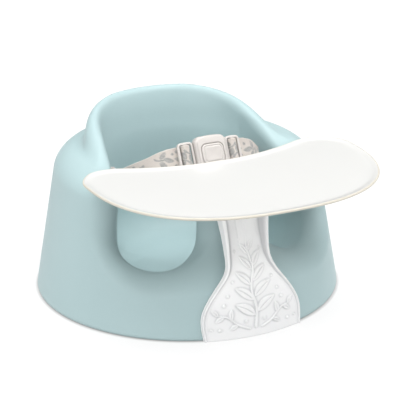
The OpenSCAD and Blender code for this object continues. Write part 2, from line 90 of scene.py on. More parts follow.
# ------------------------------------------------------------------ materials
class Nodes:
    """A material's node tree, with short calls for what is used here."""

    def __init__(self, name):
        self.mat = bpy.data.materials.new(name)
        self.mat.use_nodes = True
        self.t = self.mat.node_tree
        self.t.nodes.clear()
        self.out = self.t.nodes.new("ShaderNodeOutputMaterial")
        self.bsdf = self.t.nodes.new("ShaderNodeBsdfPrincipled")
        self.t.links.new(self.bsdf.outputs[0], self.out.inputs["Surface"])
        self.co = self.t.nodes.new("ShaderNodeTexCoord").outputs["Object"]
        self._height = None

    def set(self, **values):
        for k, v in values.items():
            self.bsdf.inputs[k.replace("_", " ")].default_value = v
        return self

    def link(self, a, b):
        self.t.links.new(a, b)

    def noise(self, scale, detail=3.0, rough=0.5, vector=None, distortion=0.0):
        n = self.t.nodes.new("ShaderNodeTexNoise")
        n.inputs["Scale"].default_value = scale
        n.inputs["Detail"].default_value = detail
        n.inputs["Roughness"].default_value = rough
        n.inputs["Distortion"].default_value = distortion
        self.link(vector or self.co, n.inputs["Vector"])
        return n.outputs[0]

    def voronoi(self, scale, vector=None, feature="F1"):
        n = self.t.nodes.new("ShaderNodeTexVoronoi")
        n.feature = feature
        n.inputs["Scale"].default_value = scale
        self.link(vector or self.co, n.inputs["Vector"])
        return n.outputs["Distance"]

    def math(self, op, a, b=None, c=None):
        n = self.t.nodes.new("ShaderNodeMath")
        n.operation = op
        for i, v in enumerate((a, b, c)):
            if v is None:
                continue
            if isinstance(v, (int, float)):
                n.inputs[i].default_value = v
            else:
                self.link(v, n.inputs[i])
        return n.outputs[0]

    def span(self, v, a, b, c, d):
        n = self.t.nodes.new("ShaderNodeMapRange")
        for i, x in enumerate((a, b, c, d)):
            n.inputs[i + 1].default_value = x
        self.link(v, n.inputs[0])
        return n.outputs[0]

    def mix(self, f, a, b, blend="MIX"):
        n = self.t.nodes.new("ShaderNodeMix")
        n.data_type = "RGBA"
        n.blend_type = blend
        if isinstance(f, (int, float)):
            n.inputs[0].default_value = f
        else:
            self.link(f, n.inputs[0])
        for i, v in ((6, a), (7, b)):
            if isinstance(v, tuple):
                n.inputs[i].default_value = v
            else:
                self.link(v, n.inputs[i])
        return n.outputs[2]

    def stretched(self, x, y, z):
        n = self.t.nodes.new("ShaderNodeMapping")
        n.inputs["Scale"].default_value = (x, y, z)
        self.link(self.co, n.inputs["Vector"])
        return n.outputs[0]

    def attribute(self, name):
        n = self.t.nodes.new("ShaderNodeAttribute")
        n.attribute_name = name
        return n.outputs["Fac"]

    def uv(self):
        n = self.t.nodes.new("ShaderNodeTexCoord")
        s = self.t.nodes.new("ShaderNodeSeparateXYZ")
        self.link(n.outputs["UV"], s.inputs[0])
        return s.outputs[0], s.outputs[1], n.outputs["UV"]

    def bump(self, height, distance, strength=1.0):
        n = self.t.nodes.new("ShaderNodeBump")
        n.inputs["Distance"].default_value = distance
        n.inputs["Strength"].default_value = strength
        self.link(height, n.inputs["Height"])
        if self._height is not None:
            self.link(self._height, n.inputs["Normal"])
        self._height = n.outputs[0]
        self.link(n.outputs[0], self.bsdf.inputs["Normal"])
        return self

    def colour(self, v):
        self.link(v, self.bsdf.inputs["Base Color"])
        return self

    def rough(self, v):
        self.link(v, self.bsdf.inputs["Roughness"])
        return self


def foam_material():
    m = Nodes("foam")
    base = m.mix(m.span(m.noise(9, 4, 0.55), 0.3, 0.7, 0, 1), FOAM_A, FOAM_B)
    fleck = m.span(m.noise(420, 2, 0.6), 0.35, 0.65, 0.0, 1.0)
    col = m.mix(m.math("MULTIPLY", fleck, 0.10), base, FOAM_C)
    m.colour(col)
    m.rough(m.span(m.noise(28, 3), 0.3, 0.7, 0.46, 0.56))
    m.set(Specular_IOR_Level=0.36, Sheen_Weight=0.06, Sheen_Roughness=0.5)
    m.bump(m.noise(16, 2), 0.0006, 0.5)
    m.bump(m.noise(750, 3, 0.6), 0.00011, 0.7)
    m.bump(m.voronoi(1150), 0.00005, 0.6)
    return m.mat


def hard_material(name, a, b, rough, grain=0.00004, spec=0.5, coat=0.0, shade=None):
    m = Nodes(name)
    col = m.mix(m.span(m.noise(26, 4, 0.6), 0.3, 0.7, 0, 1), a, b)
    if shade is not None:
        # painted shade, mixed in by a weight that each point carries
        col = m.mix(m.attribute("painted_shade"), col, shade)
    m.colour(col)
    m.rough(m.span(m.noise(60, 4, 0.6), 0.3, 0.7, rough - 0.03, rough + 0.05))
    m.set(Specular_IOR_Level=spec, Coat_Weight=coat, Coat_Roughness=0.08)
    m.bump(m.noise(70, 2), 0.00012, 0.35)
    m.bump(m.noise(1400, 2, 0.5), grain, 0.6)
    return m.mat


def tray_material():
    m = Nodes("tray_white")
    m.colour(m.mix(m.span(m.noise(5, 3), 0.3, 0.7, 0, 1), WHITE_DIMMED_A, WHITE_DIMMED_B))
    # faint wipe marks in two directions
    wipe = m.noise(22, 5, 0.65, m.stretched(1, 9, 1))
    wipe2 = m.noise(30, 5, 0.65, m.stretched(11, 1, 1))
    both = m.math("MULTIPLY", m.math("ADD", wipe, wipe2), 0.5)
    m.rough(m.span(both, 0.35, 0.65, 0.13, 0.21))
    m.set(Specular_IOR_Level=0.5)
    m.bump(m.noise(38, 2), 0.00010, 0.30)
    return m.mat


def web_material():
    m = Nodes("webbing")
    u, v, _ = m.uv()
    # ribs of the weave: u across and v along, both in millimetres
    across = m.math("SINE", m.math("MULTIPLY", u, 2 * math.pi / 1.35))
    along = m.math("SINE", m.math("MULTIPLY", v, 2 * math.pi / 1.7))
    weave = m.math("MULTIPLY", across, along)
    fine = m.math("SINE", m.math("MULTIPLY", m.math("ADD", u, m.math("MULTIPLY", v, 0.5)), 2 * math.pi / 0.45))
    h = m.math("ADD", m.math("MULTIPLY", weave, 0.5), m.math("MULTIPLY", fine, 0.12))
    dirt = m.span(m.noise(60, 4, 0.6), 0.3, 0.7, 0, 1)
    cloth = m.mix(dirt, WEB_A, WEB_B)
    ink = m.mix(m.span(m.noise(240, 4, 0.7), 0.35, 0.65, 0, 1), INK_A, INK_B)
    col = m.mix(m.math("MULTIPLY", m.attribute("print"), 0.88), cloth, ink)
    # painted shade in the low parts of the weave
    col = m.mix(m.span(h, -0.6, 0.1, 0.30, 0.0), col, WEB_GAP_SHADE)
    m.colour(col)
    m.set(Roughness=0.86, Specular_IOR_Level=0.25, Sheen_Weight=0.25, Sheen_Roughness=0.4)
    m.bump(h, 0.00030, 0.8)
    m.bump(m.noise(1500, 2), 0.00012, 0.5)
    return m.mat


def thread_material():
    m = Nodes("thread")
    m.colour(m.mix(m.noise(900, 2), lin(196, 190, 182), lin(222, 217, 209)))
    m.set(Roughness=0.8, Sheen_Weight=0.2)
    m.bump(m.noise(2500, 2), 0.00008, 0.6)
    return m.mat


def steel_material():
    m = Nodes("screw_steel")
    m.colour(m.mix(m.noise(400, 3), (0.52, 0.52, 0.53, 1), (0.66, 0.66, 0.66, 1)))
    m.rough(m.span(m.noise(700, 3, 0.6, m.stretched(1, 6, 1)), 0.3, 0.7, 0.24, 0.38))
    m.set(Metallic=1.0)
    m.bump(m.noise(1800, 2), 0.00003, 0.5)
    return m.mat


FOAM_A, FOAM_B, FOAM_C = lin(160, 182, 184), lin(163, 185, 187), lin(152, 174, 177)
# the tray's top and its leg are one white plastic in two tones: the top's white is painted darker where the light falls
# strongest, and the leg's white is painted brighter in the tray's shade
WHITE_DIMMED_A, WHITE_DIMMED_B = lin(204, 204, 202), lin(206, 206, 204)
# the leg's third colour is painted shade, for its hollows, flange walls and lower part
STEM_LIT_A, STEM_LIT_B, STEM_PAINTED_SHADE = lin(245, 245, 245), lin(248, 248, 247), lin(192, 193, 195)
CREAM_A, CREAM_B = lin(190, 185, 181), lin(194, 189, 185)
# the tray's edge band: its own beige, darkened further with painted shade under the rim
EDGE_BEIGE_SHADE_A, EDGE_BEIGE_SHADE_B = lin(189, 184, 172), lin(195, 190, 179)
# the webbing's third colour is painted shade for the weave's low parts
WEB_A, WEB_B, WEB_GAP_SHADE = lin(190, 182, 176), lin(200, 193, 186), lin(146, 139, 133)
INK_A, INK_B = lin(132, 134, 133), lin(158, 159, 157)

MAT_FOAM = foam_material()
MAT_TRAY = tray_material()
MAT_EDGE_BEIGE_SHADE = hard_material("tray_edge_beige_shade", EDGE_BEIGE_SHADE_A, EDGE_BEIGE_SHADE_B, 0.45, spec=0.35)
# the leg's brighter white, painted light, also goes under the tray, on its pad, ribs and leg plate
MAT_STEM = hard_material("stem_white", STEM_LIT_A, STEM_LIT_B, 0.36, spec=0.4)
MAT_LEG = hard_material("leg_white", STEM_LIT_A, STEM_LIT_B, 0.33, spec=0.45, shade=STEM_PAINTED_SHADE)
MAT_CREAM = hard_material("cream_plastic", CREAM_A, CREAM_B, 0.38, spec=0.4)
MAT_WEB = web_material()
MAT_THREAD = thread_material()
MAT_STEEL = steel_material()


# ------------------------------------------------------------------ mesh helpers
def build(name, verts_mm, quads=(), tris=(), mats=(), face_mat=None, uv=None, sharp=None, point=None):
    """Mesh object from arrays in millimetres. face_mat is one number per face, quads first."""
    verts = np.asarray(verts_mm, float).reshape(-1, 3) * 0.001
    quads = np.asarray(quads, np.int32).reshape(-1, 4)
    tris = np.asarray(tris, np.int32).reshape(-1, 3)
    me = bpy.data.meshes.new(name)
    me.vertices.add(len(verts))
    me.vertices.foreach_set("co", verts.astype(np.float32).ravel())
    loops = np.concatenate([quads.ravel(), tris.ravel()])
    me.loops.add(len(loops))
    me.loops.foreach_set("vertex_index", loops)
    starts = np.concatenate(
        [np.arange(len(quads)) * 4, len(quads) * 4 + np.arange(len(tris)) * 3]
    ).astype(np.int32)
    me.polygons.add(len(starts))
    me.polygons.foreach_set("loop_start", starts)
    if face_mat is not None:
        me.polygons.foreach_set("material_index", np.asarray(face_mat, np.int32))
    me.update(calc_edges=True)
    if uv is not None:
        layer = me.uv_layers.new(name="uv")
        layer.data.foreach_set("uv", np.asarray(uv, np.float32)[loops].ravel())
    if point:
        for key, values in point.items():
            att = me.attributes.new(key, "FLOAT", "POINT")
            att.data.foreach_set("value", np.asarray(values, np.float32))
    me.validate()
    me.polygons.foreach_set("use_smooth", np.ones(len(me.polygons), bool))
    if sharp is not None:
        me.set_sharp_from_angle(angle=math.radians(sharp))
    for m in mats:
        me.materials.append(m)
    ob = bpy.data.objects.new(name, me)
    scene.collection.objects.link(ob)
    return ob


def loft(rings, cap_first=None, cap_last=None):
    """Closed rings of equal length joined in order. A cap is a point, or "flat" for a fan to the ring's middle."""
    n = len(rings[0])
    verts = [np.asarray(r, float) for r in rings]
    quads, tris = [], []
    i = np.arange(n)
    j = (i + 1) % n
    for k in range(len(rings) - 1):
        quads.append(np.stack([k * n + i, k * n + j, (k + 1) * n + j, (k + 1) * n + i], 1))
    total = n * len(rings)
    extra = []
    for where, cap in ((0, cap_first), (len(rings) - 1, cap_last)):
        if cap is None:
            continue
        mid = verts[where].mean(0) if isinstance(cap, str) else np.asarray(cap, float)
        extra.append(mid)
        c = np.full(n, total + len(extra) - 1)
        if where == 0:
            tris.append(np.stack([c, where * n + j, where * n + i], 1))
        else:
            tris.append(np.stack([c, where * n + i, where * n + j], 1))
    v = np.concatenate(verts + [np.array(extra).reshape(-1, 3)])
    return v, np.concatenate(quads), (np.concatenate(tris) if tris else np.zeros((0, 3), int))


def joined(parts):
    """(verts, quads, tris) of several parts as one, with the part's number for each face."""
    vs, qs, ts, qm, tm, off = [], [], [], [], [], 0
    for k, (v, q, t) in enumerate(parts):
        vs.append(v)
        qs.append(np.asarray(q, int).reshape(-1, 4) + off)
        ts.append(np.asarray(t, int).reshape(-1, 3) + off)
        qm += [k] * len(qs[-1])
        tm += [k] * len(ts[-1])
        off += len(v)
    return np.concatenate(vs), np.concatenate(qs), np.concatenate(ts), np.array(qm + tm)


def catmull(points, n):
    p = np.asarray(points, float)
    out = []
    for i in range(len(p) - 1):
        a, b, c, d = p[max(i - 1, 0)], p[i], p[i + 1], p[min(i + 2, len(p) - 1)]
        for t in np.arange(n) / n:
            out.append(
                0.5 * (2 * b + (c - a) * t + (2 * a - 5 * b + 4 * c - d) * t * t + (3 * b - a - 3 * c + d) * t**3)
            )
    out.append(p[-1])
    return np.array(out)


def ease(e0, e1, x):
    t = np.clip((x - e0) / (e1 - e0), 0, 1)
    return t * t * (3 - 2 * t)


def rmax(a, b, r):
    both = (a > -r) & (b > -r)
    return np.where(both, np.hypot(np.maximum(a + r, 0), np.maximum(b + r, 0)) - r, np.maximum(a, b))


def place(ob, body, slot, *replaced):
    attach(ob, body)
    if replaced:
        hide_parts(*replaced)
    return ob


# ------------------------------------------------------------------ foam seat
def smin(a, b, k):
    h = np.clip(0.5 + 0.5 * (b - a) / k, 0, 1)
    return b * (1 - h) + a * h - k * h * (1 - h)


def smax(a, b, k):
    return -smin(-a, -b, k)


def pos(x, q):
    return 0.5 * (x + np.sqrt(x * x + q * q))


C27, S27 = math.cos(math.radians(27)), math.sin(math.radians(27))


WALL, FLARE, NARROW, LIP, LIP_P = 0.02, 14.0, 0.11, 31.0, 1.5


def lip(a, b, r):
    """Like rmax, but with a flatter, more abrupt rounding."""
    both = (a > -r) & (b > -r)
    p, q = np.maximum(a + r, 0), np.maximum(b + r, 0)
    return np.where(both, (p**LIP_P + q**LIP_P) ** (1 / LIP_P) - r, np.maximum(a, b))


def foam(x, y, z):
    """Signed distance to the foam in millimetres, negative inside; the same shape as the CAD's."""
    X = np.sqrt(x * x + 9)
    r = np.hypot(x, y)
    cone = (r - (189.2 - 0.172 * z)) / math.hypot(1, 0.172)
    skirt = rmax(cone, z - (175.5 + 0.03 * y), 25)
    yy = y - 6
    rc = np.hypot(x, yy)
    turn = np.degrees(np.arctan2(X, yy))
    hc = 164.7 + (226.5 - 164.7) * (1 - ease(21.8, 138, turn))
    col = np.hypot(rc - 106, np.maximum(z - (hc - 15), 0)) - 15
    flare = FLARE * (1 - ease(30, 85, turn)) * np.clip(1 - (hc - z) / 78, 0, 1.1) ** 2
    flare = flare - 3 * ease(55, 95, turn) * ease(158, 180, z)
    bowl = rmax(rc - (95 + WALL * (z - 30)) - flare, 30 - z, 45)
    b = smax(smin(skirt, col, 16), -bowl, 15)
    along = (X - 98) * S27 - (y + 122) * C27
    side = 47.5 - ((X - 98) * C27 + (y + 122) * S27)
    zh = pos(z - 80, 20)
    gap = np.hypot(X, y - (-118 + 0.28 * zh)) - (42 - 0.08 * zh)
    w = np.maximum((gap + side) / 2, 5)
    t = (side - gap) / 2
    zz = np.minimum(z - (120 - 0.62 * (pos(-along, 20) - 10)), 0)
    g = w / 47.5
    t = np.abs(t) + NARROW * pos(z - 112, 12)
    leg = np.maximum((np.hypot(t, zz * g) - w) / np.maximum(1, 0.5 + 0.5 * g), -along - 120)
    floor_ = np.maximum(z - 30, rc - 95)
    return rmax(smin(lip(b, -leg, LIP), floor_, np.maximum(10 * ease(45, 70, rc), 0.01)), -z, 4)


def foam_gradient(p, e=0.3):
    g = np.empty_like(p)
    for k in range(3):
        d = np.zeros(3)
        d[k] = e
        g[:, k] = (foam(*(p + d).T) - foam(*(p - d).T)) / (2 * e)
    return g


def surface_net(values, origin, step):
    cells = tuple(n - 1 for n in values.shape)
    total = int(np.prod(cells))
    sums = np.zeros((3, total))
    count = np.zeros(total)
    inside = values < 0
    rows = []
    for ax in range(3):
        o1, o2 = (ax + 1) % 3, (ax + 2) % 3
        lo = [slice(None)] * 3
        hi = [slice(None)] * 3
        lo[ax], hi[ax] = slice(0, -1), slice(1, None)
        lo, hi = tuple(lo), tuple(hi)
        idx = np.argwhere(inside[lo] != inside[hi])
        a = values[lo][tuple(idx.T)]
        b = values[hi][tuple(idx.T)]
        p = idx.astype(float)
        p[:, ax] += a / (a - b)
        ring = []
        for d1, d2 in ((-1, -1), (0, -1), (0, 0), (-1, 0)):
            c = idx.copy()
            c[:, o1] += d1
            c[:, o2] += d2
            ok = np.all((c >= 0) & (c < np.array(cells)), 1)
            flat = np.where(ok, np.ravel_multi_index(tuple(np.clip(c, 0, np.array(cells) - 1).T), cells), -1)
            ring.append(flat)
            use = flat >= 0
            for k in range(3):
                sums[k] += np.bincount(flat[use], p[use, k], total)
            count += np.bincount(flat[use], minlength=total)
        ring = np.stack(ring, 1)
        ring = np.where((a < 0)[:, None], ring, ring[:, ::-1])
        rows.append(ring[np.all(ring >= 0, 1)])
    quads = np.concatenate(rows)
    used = np.flatnonzero(count)
    number = np.full(total, -1)
    number[used] = np.arange(len(used))
    verts = (sums[:, used] / count[used]).T * step + np.asarray(origin, float)
    return verts, number[quads]


def make_seat():
    step = 2.4
    x = np.arange(-194.4, 194.5, step)
    y = np.arange(-194.4, 194.5, step)
    z = np.arange(-3.1, 230.1, step)
    gx, gy, gz = np.meshgrid(x, y, z, indexing="ij")
    f = foam(gx, gy, gz)
    v, q = surface_net(f, (x[0], y[0], z[0]), step)
    edges = np.concatenate([q[:, [0, 1]], q[:, [1, 2]], q[:, [2, 3]], q[:, [3, 0]]])
    near = np.bincount(edges[:, 0], minlength=len(v)) + np.bincount(edges[:, 1], minlength=len(v))
    for turn in range(5):
        if turn:
            mean = np.stack(
                [
                    np.bincount(edges[:, 0], v[edges[:, 1], k], len(v))
                    + np.bincount(edges[:, 1], v[edges[:, 0], k], len(v))
                    for k in range(3)
                ],
                1,
            ) / near[:, None]
            v = 0.45 * v + 0.55 * mean
        for _ in range(3 if turn == 4 else 2):
            g = foam_gradient(v)
            v = v - g * (foam(*v.T) / np.maximum((g * g).sum(1), 0.2))[:, None]
    ob = build("foam_seat", v, q, mats=[MAT_FOAM])
    place(ob, "seat", "foam", "seat_body")
    return ob


# ------------------------------------------------------------------ tray
TRAY_CY = -104.0


def outline(x, y):
    n = np.where(y < TRAY_CY, 2.46, 2.0)
    b = np.where(y < TRAY_CY, 170.0, 80.0)
    X = np.maximum(np.abs(x), 0.01)
    Y = np.maximum(np.abs(y - TRAY_CY), 0.01)
    rho = ((X / 174) ** n + (Y / b) ** n) ** (1 / n)
    gx = rho ** (1 - n) * (X / 174) ** (n - 1) / 174
    gy = rho ** (1 - n) * (Y / b) ** (n - 1) / b
    return rmax((rho - 1) / np.hypot(gx, gy), 263 - np.hypot(x, y - 170), 24.0)


def polar(shape, centre, count, far=270.0, start=0.0):
    """Points of a flat outline, where rays from centre cross it. shape is negative inside."""
    a = start + 2 * math.pi * np.arange(count) / count
    d = np.stack([np.sin(a), -np.cos(a)], 1)
    lo, hi = np.zeros(count), np.full(count, float(far))
    for _ in range(44):
        m = (lo + hi) / 2
        p = np.asarray(centre) + d * m[:, None]
        out = shape(p[:, 0], p[:, 1]) > 0
        hi = np.where(out, m, hi)
        lo = np.where(out, lo, m)
    return np.asarray(centre) + d * lo[:, None]


def outward(p):
    d = np.roll(p, -1, 0) - np.roll(p, 1, 0)
    n = np.stack([d[:, 1], -d[:, 0]], 1)
    return n / np.linalg.norm(n, axis=1, keepdims=True)


def box2(w, h, r, cx=0.0, cy=0.0):
    return lambda x, y: rmax(np.abs(x - cx) - w / 2, np.abs(y - cy) - h / 2, r)


def make_tray():
    count = 448
    rim = polar(outline, (0, -160), count)
    nrm = outward(rim)
    zt, zb, h = 184.2, 180.8, 1.8
    top = [(24, zt), (19, zt), (15, zt + 0.01), (12, zt + 0.06), (9.6, zt + 0.22), (7.6, zt + 0.52), (5.8, zt + 0.95),
           (4.2, zt + 1.35), (2.8, zt + 1.62), (1.6, zt + 1.75)]
    edge = [(0.9, zt + h - 0.16), (0.42, zt + h - 0.45), (0.12, zt + h - 0.95), (0.03, zt + h - 1.5),
            (0.1, zt + h - 2.1), (0.42, zt + h - 2.6), (1.0, zt + h - 2.95)]
    under = [(1.9, zb + h - 0.02), (3.4, zb + 0.9 * h), (7, zb + 0.7 * h), (12, zb + 0.4 * h), (17, zb + 0.12 * h), (21, zb), (24, zb)]
    rings, kinds = [], []

    def ring(inset, z):
        p = rim - nrm * inset
        return np.column_stack([p, np.full(count, z)])

    def inner(f, z):
        p = rim - nrm * 24
        p = np.array([0, -160]) + (p - np.array([0, -160])) * f
        return np.column_stack([p, np.full(count, z)])

    for f in (0.12, 0.35, 0.6, 0.85):
        rings.append(inner(f, zt))
    fine_top = catmull(top, 3)
    fine_edge = catmull(edge, 3)
    fine_under = catmull(under, 3)
    for q in fine_top:
        rings.append(ring(q[0], min(q[1], zt + h)))
    n_top = len(rings)
    for q in fine_edge:
        rings.append(ring(max(q[0], 0.02), q[1]))
    n_edge = len(rings)
    for q in fine_under:
        rings.append(ring(q[0], q[1]))
    for f in (0.85, 0.6, 0.35):
        rings.append(inner(f, zb))
    # the loft runs from the middle of the top over the edge to the middle of the underside
    v, q, t = loft(rings[::-1], cap_first=(0, -160, zb), cap_last=(0, -160, zt))
    total = len(rings)
    kinds = np.zeros(len(q) + len(t), int)
    per = np.repeat(np.arange(total - 1), count)  # quad rows, from the underside upwards
    from_top = total - 2 - per
    # the edge band's faces get the beige edge colour with its painted shade
    kinds[: len(q)] = ((from_top >= n_top - 2) & (from_top < n_edge)).astype(int)
    # pad under the tray
    pad = polar(box2(78, 66, 10, 0, -161), (0, -161), 160, far=80)
    pn = outward(pad)
    rings2 = []
    for inset, z in ((6, 177.3), (1.6, 177.3), (0.9, 177.4), (0.35, 177.75), (0.05, 178.3), (0, 179), (0, 181.3)):
        p = pad - pn * inset
        rings2.append(np.column_stack([p, np.full(len(p), z)]))
    v2, q2, t2 = loft(rings2, cap_first=(0, -161, 177.3))
    # low ribs under the tray
    parts = [(v, q, t), (v2, q2, t2)]
    for k in range(10):
        a = math.radians(-108 + 24 * k)
        r0, r1 = 46.0, (78.0, 92.0, 96.0, 90.0, 84.0)[min(k, 9 - k)]
        d = np.array([math.sin(a), -math.cos(a)])
        s = np.array([d[1], -d[0]])
        c = np.array([0, -161])
        sect = []
        for dist in np.linspace(r0 - 8, r1, 14):
            hh = 2.2 * ease(r1, r1 - 22, dist)
            row = []
            for u, w in ((-1.5, 0.3), (-0.95, -0.2), (-0.7, -0.75), (-0.35, -1.0), (0.35, -1.0), (0.7, -0.75),
                         (0.95, -0.2), (1.5, 0.3)):
                p = c + d * dist + s * u
                row.append((p[0], p[1], zb + 0.15 + w * hh))
            sect.append(np.array(row))
        vv, qq, tt = loft(sect, "flat", "flat")
        parts.append((vv, qq[:, ::-1], tt[:, ::-1]))
    v, q, t, who = joined(parts)
    nq0 = len(parts[0][1])
    mats = np.zeros(len(q) + len(t), int)
    mats[:nq0] = kinds[:nq0]
    ob = build("tray_board", v, q, t, mats=[MAT_TRAY, MAT_EDGE_BEIGE_SHADE, MAT_STEM], face_mat=mats, sharp=42)
    place(ob, "tray", "white_plastic", "tray_top")
    return ob


# ------------------------------------------------------------------ the tray's leg
STEM_BACK = np.array([(0, 190.2), (60, 179.9), (75, 176.9), (80, 174.6), (85, 171.6), (88, 169.6), (92, 166.9), (100, 163),
                      (112, 159), (134, 151.5), (150, 146.5), (165, 143.5), (178, 142.5)], float)
STEM_HALF = np.array([(0, 62.3), (8, 63.4), (16, 64.2), (25, 64), (33, 62), (41, 58.2), (50, 52.8), (61, 45), (69, 38.6),
                      (77, 33), (84, 29.4), (92, 27.6), (103, 27.3), (118, 28), (134, 29.5), (150, 32), (165, 36), (178, 40)], float)
STEM_RIM = np.array([(0, 2), (40, 2.4), (61, 3), (75, 3.6), (88, 4.6), (100, 6.6), (112, 8.8), (134, 12.6), (150, 14), (178, 14)], float)
STEM_RIMW = np.array([(0, 4.5), (40, 5.5), (61, 6.6), (75, 7.4), (88, 8.4), (112, 11), (134, 13.6), (178, 15)], float)


def smooth_table(tab, z):
    """A smooth curve through the table's points."""
    fine = np.arange(tab[0, 0], tab[-1, 0] + 0.01, 0.5)
    y = np.interp(fine, tab[:, 0], tab[:, 1])
    k = np.hanning(15)
    k /= k.sum()
    y = np.convolve(np.pad(y, 7, mode="reflect", reflect_type="odd"), k, "valid")
    return np.interp(z, fine, y)


def leaf(x, z, base, tip, half):
    """Height from 0 to 1 of a pointed leaf with a groove along its middle."""
    bx, bz = base
    dx, dz = tip[0] - bx, tip[1] - bz
    length = math.hypot(dx, dz)
    ux, uz = dx / length, dz / length
    s = ((x - bx) * ux + (z - bz) * uz) / length
    bend = 0.10 * length * np.sin(np.clip(s, 0, 1) * math.pi)
    d = (x - bx) * -uz + (z - bz) * ux - bend * (1 if ux > 0 else -1) * 0.5
    w = half * np.sin(np.clip(s, 0, 1) ** 0.85 * math.pi) ** 0.8
    h = ease(0.0, 1.25, w - np.abs(d)) * ((s > 0) & (s < 1))
    rib = np.exp(-((d / 0.42) ** 2)) * ease(0.02, 0.2, s) * ease(1.0, 0.75, s)
    return h * (1 - 0.55 * rib)


def line(x, z, pts, w0, w1):
    """Height from 0 to 1 of a round bar along a smooth line that tapers from w0 to w1."""
    p = catmull(pts, 8)
    h = np.zeros_like(x)
    for i in range(len(p) - 1):
        a, b = p[i], p[i + 1]
        d = b - a
        t = np.clip(((x - a[0]) * d[0] + (z - a[1]) * d[1]) / (d @ d), 0, 1)
        r = np.hypot(x - a[0] - d[0] * t, z - a[1] - d[1] * t)
        w = w0 + (w1 - w0) * (i + t) / (len(p) - 1)
        h = np.maximum(h, np.sqrt(np.clip(1 - (r / w) ** 2, 0, 1)))
    return h


def dot(x, z, c, r):
    return np.sqrt(np.clip(1 - ((x - c[0]) ** 2 + (z - c[1]) ** 2) / (r * r), 0, 1))


def relief(x, z):
    """Raised leaves, stalks and dots on the leg's front, in millimetres."""
    h = 0.95 * line(x, z, [(0, 12), (2.5, 34), (-2.5, 58), (2, 82), (-0.5, 104), (1, 121)], 1.9, 0.9)
    pairs = [(26, 30, 8.2, 26, 15), (44, 26, 7.6, 24, 17), (62, 21, 6.4, 19, 17), (79, 16.5, 5.2, 14, 15), (95, 13, 4.2, 10, 13)]
    for k, (z0, reach, half, dx, dz) in enumerate(pairs):
        for s in (-1, 1):
            zz = z0 + (4 if s > 0 else 0)
            bx = np.interp(zz, [12, 34, 58, 82, 104, 121], [0, 2.5, -2.5, 2, -0.5, 1])
            h = np.maximum(h, 1.0 * leaf(x, z, (bx + s * 1.0, zz), (bx + s * dx, zz + dz), half / 1.35))
    h = np.maximum(h, leaf(x, z, (1, 118), (-1.5, 133), 3.6))
    for s in (-1, 1):
        h = np.maximum(h, 0.8 * line(x, z, [(s * 8, 11), (s * 22, 17), (s * 34, 27), (s * 45, 30)], 1.5, 0.8))
        h = np.maximum(h, 0.9 * leaf(x, z, (s * 22, 17), (s * 33, 11.5), 3.0))
        h = np.maximum(h, 0.9 * leaf(x, z, (s * 30, 23), (s * 28, 37), 3.4))
        h = np.maximum(h, 0.9 * leaf(x, z, (s * 38, 28.5), (s * 49, 22), 3.2))
        h = np.maximum(h, 0.9 * leaf(x, z, (s * 45, 30), (s * 53, 37), 3.2))
        for c, r in (((s * 37, 41), 2.3), ((s * 32, 52), 2.0), ((s * 12, 20), 2.1), ((s * 44, 13), 2.2), ((s * 54, 14), 1.6),
                     ((s * 25, 68), 1.7), ((s * 9, 112), 1.5), ((s * 16, 100), 1.3)):
            h = np.maximum(h, 0.9 * dot(x, z, c, r))
    return 1.0 * h


def blurred(a, rows, cols):
    """Box average over a few rows and columns."""
    for axis, r in ((0, rows), (1, cols)):
        pad = [(0, 0), (0, 0)]
        pad[axis] = (r + 1, r)
        c = np.cumsum(np.pad(a, pad, mode="edge"), axis)
        hi = np.take(c, np.arange(2 * r + 1, c.shape[axis]), axis)
        lo = np.take(c, np.arange(0, c.shape[axis] - 2 * r - 1), axis)
        a = (hi - lo) / (2 * r + 1)
    return a


